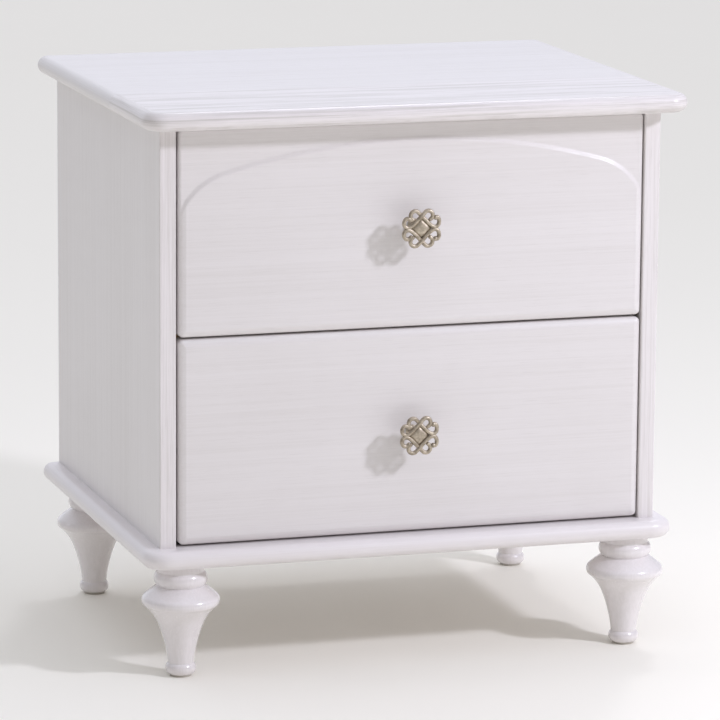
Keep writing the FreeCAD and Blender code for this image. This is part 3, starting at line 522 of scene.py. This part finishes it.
def edge_fall(distance, edge):
    """How far a moulded edge of some width and depth falls back, by distance from the edge.

    It is a bevel with a quarter round outside it, so its inner border stays crisp.
    """
    width, depth = edge
    reach = np.clip(1.0 - distance / width, 0.0, 1.0)
    round_part = 1.0 - np.sqrt(1.0 - reach * reach)
    return depth * (EDGE_ARRIS * reach + (1.0 - EDGE_ARRIS) * round_part)


def ease_ends(value):
    """A straight ramp from 0 to 1 with a small round at each end."""
    value = np.clip(value, 0.0, 1.0)
    smooth = value * value * (3.0 - 2.0 * value)
    return RAMP_STRAIGHT * value + (1.0 - RAMP_STRAIGHT) * smooth


# the moulded edges of a drawer front, as width and depth
FIELD_EDGE = (7.0 * MM, 4.4 * MM)
SPANDREL_EDGE = (2.6 * MM, 2.4 * MM)
EDGE_ARRIS = 0.3
CORNER_ROUND = 5.0 * MM

# the arch, above the lower edge of the upper front, and the step down to the spandrels above it
ARCH_CROWN = 179.5 * MM
ARCH_SHOULDER = (187.0 * MM, 153.8 * MM)
ARCH_SIDE_RISE = 112.0 * MM
RELIEF = 2.1 * MM
RELIEF_WIDTH = 3.6 * MM
RAMP_STRAIGHT = 0.75

# the fronts hang a little to the right, so the gap at their left is the wider one
FRONT_SHIFT = 1.2 * MM

GRID_BORDER = 8.0 * MM
GRID_FINE = 0.5 * MM
GRID_ARCHED = 1.2 * MM
GRID_PLAIN = 5.0 * MM


def arch_distance(x, z, half):
    """Signed distance above the arch: one wide crown arc and a tight arc at each side."""
    rise = ARCH_CROWN - ARCH_SHOULDER[1]
    crown_radius = (ARCH_SHOULDER[0] ** 2 + rise ** 2) / (2 * rise)
    crown = np.array([0.0, ARCH_CROWN - crown_radius])
    shoulder = np.array(ARCH_SHOULDER)
    outward = (shoulder - crown) / crown_radius
    to_side = np.array([half, ARCH_SIDE_RISE]) - shoulder
    corner_radius = -(to_side @ to_side) / (2 * to_side @ outward)
    corner = shoulder - outward * corner_radius
    across = np.abs(x)
    from_crown = np.hypot(across - crown[0], z - crown[1]) - crown_radius
    from_corner = np.hypot(across - corner[0], z - corner[1]) - corner_radius
    past_shoulder = (across - corner[0]) * outward[1] - (z - corner[1]) * outward[0] > 0
    above = np.where(past_shoulder, from_corner, from_crown)
    return np.where(z < corner[1], -1.0, above)


def front_face(x, z, half, height, arched):
    """How far the face of a drawer front falls back from its foremost plane."""
    from_side = half - np.abs(x)
    from_end = np.minimum(z, height - z)
    corner_x = np.maximum(CORNER_ROUND - from_side, 0.0)
    corner_z = np.maximum(CORNER_ROUND - from_end, 0.0)
    distance = np.where((corner_x > 0) & (corner_z > 0),
                        CORNER_ROUND - np.hypot(corner_x, corner_z),
                        np.minimum(from_side, from_end))
    distance = np.maximum(distance, 0.0)
    field = edge_fall(distance, FIELD_EDGE)
    if not arched:
        return field
    sunk = RELIEF + edge_fall(distance, SPANDREL_EDGE)
    ramp = arch_distance(x, z, half) / RELIEF_WIDTH
    return field + (sunk - field) * ease_ends(ramp)


def rounded_outline(x, z, half, height):
    """Move the points of a rectangular grid so that its corners become quarter rounds."""
    past_x = np.maximum(np.abs(x) - half + CORNER_ROUND, 0.0)
    past_z = np.maximum(np.abs(z - height / 2) - height / 2 + CORNER_ROUND, 0.0)
    reach = np.maximum(np.hypot(past_x, past_z), 1e-9)
    shrink = np.where((past_x > 0) & (past_z > 0), 1.0 - np.maximum(past_x, past_z) / reach, 0.0)
    return x - np.sign(x) * past_x * shrink, z - np.sign(z - height / 2) * past_z * shrink


def drawer_front(level):
    """A drawer front with a rounded face, closed at its sides and back."""
    node = f"{level}_drawer_front"
    low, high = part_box(node)
    half = (high.x - low.x) / 2
    middle = (high.x + low.x) / 2 + FRONT_SHIFT
    height = high.z - low.z
    arched = level == "upper"
    coarse = GRID_ARCHED if arched else GRID_PLAIN
    xs = spaced(2 * half, GRID_FINE, GRID_BORDER, coarse) - half
    zs = spaced(height, GRID_FINE, GRID_BORDER, coarse)
    grid_x, grid_z = rounded_outline(*np.meshgrid(xs, zs), half, height)
    depth = front_face(grid_x, grid_z, half, height, arched)
    columns, rows = len(xs), len(zs)
    face = np.stack([grid_x + middle, low.y + depth, grid_z + low.z], -1).reshape(-1, 3)
    rim = list(range(columns))
    rim += [row * columns + columns - 1 for row in range(1, rows)]
    rim += [(rows - 1) * columns + column for column in range(columns - 2, -1, -1)]
    rim += [row * columns for row in range(rows - 2, 0, -1)]
    back = face[rim].copy()
    back[:, 1] = high.y
    points = np.concatenate([face, back])
    faces = []
    for row in range(rows - 1):
        for column in range(columns - 1):
            start = row * columns + column
            faces.append((start, start + 1, start + columns + 1, start + columns))
    count = len(rim)
    first_back = len(face)
    for index in range(count):
        following = (index + 1) % count
        faces.append((rim[following], rim[index], first_back + index, first_back + following))
    faces.append(tuple(first_back + index for index in range(count - 1, -1, -1)))
    mesh_piece(f"{level}_front_shaped", points, faces, "front",
               f"{level}_drawer", node)


def arc(first, middle, last, count):
    """Points on the arc through three points, the last one included."""
    first, middle, last = (np.array(point, float) for point in (first, middle, last))
    lines = 2 * np.array([middle - first, last - first])
    levels = [middle @ middle - first @ first, last @ last - first @ first]
    centre = np.linalg.solve(lines, levels)
    start, via, end = (math.atan2(*(point - centre)[::-1]) for point in (first, middle, last))
    turn = (end - start) % math.tau
    if (via - start) % math.tau > turn:
        turn -= math.tau
    radius = np.linalg.norm(first - centre)
    angles = start + turn * np.linspace(0.0, 1.0, count + 1)[1:]
    return [tuple(centre + radius * np.array((math.cos(angle), math.sin(angle))))
            for angle in angles]


def lathe(profile, sides, centre, axis):
    """Points and faces of a turned shape: (radius, height) pairs round an upright or -Y axis."""
    angles = np.linspace(0.0, math.tau, sides, endpoint=False)
    points = []
    for radius, height in profile:
        for angle in angles:
            across, up = radius * math.cos(angle), radius * math.sin(angle)
            offset = (across, up, height) if axis == "Z" else (across, -height, up)
            points.append(np.array(centre) + offset)
    return points, ring_faces(len(profile), sides)


def ring_faces(rings, sides):
    """Quads between rings of points, and a cap at each end."""
    faces = []
    for ring in range(rings - 1):
        for side in range(sides):
            following = (side + 1) % sides
            low, high = ring * sides, (ring + 1) * sides
            faces.append((low + side, low + following, high + following, high + side))
    faces.append(tuple(range(sides - 1, -1, -1)))
    faces.append(tuple((rings - 1) * sides + side for side in range(sides)))
    return faces


def merged(shells):
    """Several sets of points and faces as one."""
    points, faces = [], []
    for shell_points, shell_faces in shells:
        faces += [tuple(index + len(points) for index in face) for face in shell_faces]
        points += list(shell_points)
    return points, faces


# ------------------------------------------------------------------------ legs

LEG_SIDES = 96


def leg_outline():
    """Radius and height of a leg above the floor, in mm, from the sole upwards."""
    path = [(11.6, 2.0)]
    stretches = [
        ((14.6, 6.5), (12.5, 13.0), 12),
        ((15.9, 33.0), (21.2, 49.7), 16),
        ((27.0, 61.0), (36.6, 71.0), 16),
        ((37.6, 74.6), (34.6, 80.2), 14),
        ((29.4, 84.6), (22.9, 89.4), 12),
        ((25.8, 96.2), (22.6, 103.0), 16),
    ]
    for middle, last, count in stretches:
        path += arc(path[-1], middle, last, count)
    return path + [(21.8, 110.0)]


def turned_leg(node):
    """A finely turned leg in place of the CAD one."""
    low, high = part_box(node)
    centre = ((low.x + high.x) / 2, (low.y + high.y) / 2, 0.0)
    profile = [(radius * MM, height * MM) for radius, height in leg_outline()]
    points, faces = lathe(profile, LEG_SIDES, centre, "Z")
    mesh_piece(f"{node}_turned", points, faces, "leg", "carcass", node)


# ----------------------------------------------------------------------- knobs

STRAND = 1.95 * MM
STRAND_PLANE = 4.6 * MM
STRAND_SIDES = 14
STRAND_STEPS = 9
CROSSING = np.array((0.0, 11.9)) * MM
CROSSING_LIFT = 0.75 * MM
CROSSING_WIDTH = 3.2 * MM
DIAMOND_HALF = 7.3 * MM
DIAMOND_BASE = 3.2 * MM
DIAMOND_DOME = 2.7 * MM
BALL = 2.45 * MM
BALL_SIDES = 16
BALL_RINGS = 12
BALL_POLE = 0.08
STEM_SIDES = 48

# the strand along the upper right side of the diamond, in mm from the knob's middle:
# a loop at its upper left, the diamond's side, and an open or a closed curl at its right
LOOP_MIDDLE = (-6.6, 12.5)
LOOP_RADIUS = 4.4
LOOP_ANGLES = (268, 238, 205, 170, 135, 100, 72, 45)
DIAMOND_SIDE = [(2.9, 9.0), (5.95, 5.95), (8.5, 3.5)]
OPEN_CURL = [(11.2, 1.7), (14.2, 1.3), (16.6, 3.0), (17.4, 6.0), (17.0, 8.8), (15.6, 10.5),
             (13.9, 10.2)]
CLOSED_CURL = [(11.2, 1.6), (14.2, 1.1), (16.9, 2.9), (17.5, 6.0), (16.1, 9.0), (13.5, 9.9),
               (11.2, 8.7), (10.0, 6.2)]


def smooth_path(points, steps):
    """A curve through points, with some steps from each to the next."""
    points = np.array(points, float)
    guarded = np.concatenate([2 * points[:1] - points[1:2], points,
                              2 * points[-1:] - points[-2:-1]])
    spans = len(points) - 1
    before, start, end, after = (guarded[shift:shift + spans, None] for shift in range(4))
    t = np.linspace(0.0, 1.0, steps, endpoint=False)[None, :, None]
    curve = 0.5 * (2 * start + (end - before) * t
                   + (2 * before - 5 * start + 4 * end - after) * t ** 2
                   + (3 * start - before - 3 * end + after) * t ** 3)
    return np.concatenate([curve.reshape(-1, 2), points[-1:]])


def strand(mirror_x, mirror_y, over, curl):
    """One strand of a knob, as a round rod that passes over or under its neighbour."""
    loop = [(LOOP_MIDDLE[0] + LOOP_RADIUS * math.cos(math.radians(angle)),
             LOOP_MIDDLE[1] + LOOP_RADIUS * math.sin(math.radians(angle)))
            for angle in LOOP_ANGLES]
    flat = smooth_path(loop + DIAMOND_SIDE + curl, STRAND_STEPS) * MM
    from_crossing = np.linalg.norm(flat - CROSSING, axis=1) / CROSSING_WIDTH
    lift = CROSSING_LIFT * np.exp(-from_crossing ** 2)
    depth = STRAND_PLANE + (lift if over else -lift)
    travelled = np.concatenate([[0.0], np.cumsum(np.linalg.norm(np.diff(flat, axis=0), axis=1))])
    to_end = np.minimum(travelled, travelled[-1] - travelled)
    radii = STRAND * np.sqrt(1.0 - (1.0 - np.clip(to_end / STRAND, 0.06, 1.0)) ** 2)
    path = np.stack([flat[:, 0] * mirror_x, -depth, flat[:, 1] * mirror_y], -1)
    return rod(path, radii, STRAND_SIDES)


def rod(path, radii, sides):
    """Rings round a path in the plane of the knob."""
    travel = np.gradient(path, axis=0)
    travel /= np.linalg.norm(travel, axis=1)[:, None]
    across = np.cross(travel, (0.0, 1.0, 0.0))
    across /= np.linalg.norm(across, axis=1)[:, None]
    outward = np.cross(across, travel)
    angles = np.linspace(0.0, math.tau, sides, endpoint=False)[None, :, None]
    rings = path[:, None] + radii[:, None, None] * (np.cos(angles) * across[:, None]
                                                    + np.sin(angles) * outward[:, None])
    return rings.reshape(-1, 3), ring_faces(len(path), sides)


def diamond():
    """The pillow in the middle of a knob, standing on a corner."""
    cells = 22
    steps = np.linspace(-1.0, 1.0, cells + 1)
    along, across = np.meshgrid(steps, steps)
    dome = ((1 - along ** 4) * (1 - across ** 4)) ** 0.7
    x = DIAMOND_HALF * (along - across) / math.sqrt(2)
    z = DIAMOND_HALF * (along + across) / math.sqrt(2)
    front = np.stack([x, -DIAMOND_BASE - DIAMOND_DOME * dome, z], -1).reshape(-1, 3)
    back = front * (1, 0, 1)
    size = cells + 1
    faces = [(row * size + cell, row * size + cell + 1, (row + 1) * size + cell + 1,
              (row + 1) * size + cell) for row in range(cells) for cell in range(cells)]
    rim = list(range(cells)) + [row * size + cells for row in range(cells)]
    rim += [cells * size + cell for cell in range(cells, 0, -1)]
    rim += [row * size for row in range(cells, 0, -1)]
    count = len(front)
    faces += [(start, end, end + count, start + count)
              for start, end in zip(rim, rim[1:] + rim[:1])]
    faces.append(tuple(index + count for index in rim))
    return drop_unused(np.concatenate([front, back]), faces)


def drop_unused(points, faces):
    """The same faces with only the points that they use."""
    used = sorted({index for face in faces for index in face})
    place = {old: new for new, old in enumerate(used)}
    return points[used], [tuple(place[index] for index in face) for face in faces]


def ball(centre, radius):
    """A small ball turned from arcs."""
    profile = [(radius * math.sin(angle), -radius * math.cos(angle))
               for angle in np.linspace(BALL_POLE, math.pi - BALL_POLE, BALL_RINGS)]
    return lathe(profile, BALL_SIDES, centre, "Y")


def stem_outline(length):
    """Radius and height of a knob's stem, in mm, from its foot to the head."""
    path = [(5.6, 0.0), (6.0, 0.4), (6.0, 1.3)]
    path += arc(path[-1], (4.6, 2.8), (3.8, 5.5), 12)
    path += [(3.7, 10.0), (3.9, 14.0)]
    return path + arc(path[-1], (4.5, 17.6), (5.6, length), 10)


def knob(level):
    """The openwork head and the turned stem of one knob."""
    low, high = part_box(f"{level}_knob_head")
    middle = Vector(((low.x + high.x) / 2, high.y, (low.z + high.z) / 2))
    shells = [diamond()]
    for mirror_x, mirror_y, over in ((1, 1, False), (-1, 1, True), (1, -1, True), (-1, -1, False)):
        curl = OPEN_CURL if mirror_x > 0 else CLOSED_CURL
        shells.append(strand(mirror_x, mirror_y, over, curl))
        if mirror_x > 0:
            end_x, end_z = np.array(OPEN_CURL[-1]) * MM
            shells.append(ball((end_x, -STRAND_PLANE, end_z * mirror_y), BALL))
    points, faces = merged(shells)
    points = [Vector(point) + middle for point in points]
    body = f"{level}_drawer"
    mesh_piece(f"{level}_knob_filigree", points, faces, "pewter", body,
               f"{level}_knob_head")
    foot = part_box(f"{level}_knob_stem")[1].y
    length = foot - middle.y
    profile = [(radius * MM, height * MM) for radius, height in stem_outline(length / MM)]
    points, faces = lathe(profile, STEM_SIDES, (middle.x, foot, middle.z), "Y")
    mesh_piece(f"{level}_knob_turned_stem", points, faces, "pewter", body,
               f"{level}_knob_stem")


for level in ("upper", "lower"):
    drawer_front(level)
    knob(level)
for row in ("front", "back"):
    for side in ("left", "right"):
        turned_leg(f"{row}_{side}_leg")


# ------------------------------------------------------------------ floor and end

def add_floor(size):
    """A large plane at the height of the soles."""
    half = size / 2
    mesh = bpy.data.meshes.new("floor")
    mesh.from_pydata([(-half, -half, 0), (half, -half, 0), (half, half, 0), (-half, half, 0)],
                     [], [(0, 1, 2, 3)])
    mesh.materials.append(studio_floor("studio_floor"))
    floor = bpy.data.objects.new("floor", mesh)
    floor.location.z = CAD_BOX[0].z
    scene.collection.objects.link(floor)


FLOOR_SIZE = 60.0
add_floor(FLOOR_SIZE)
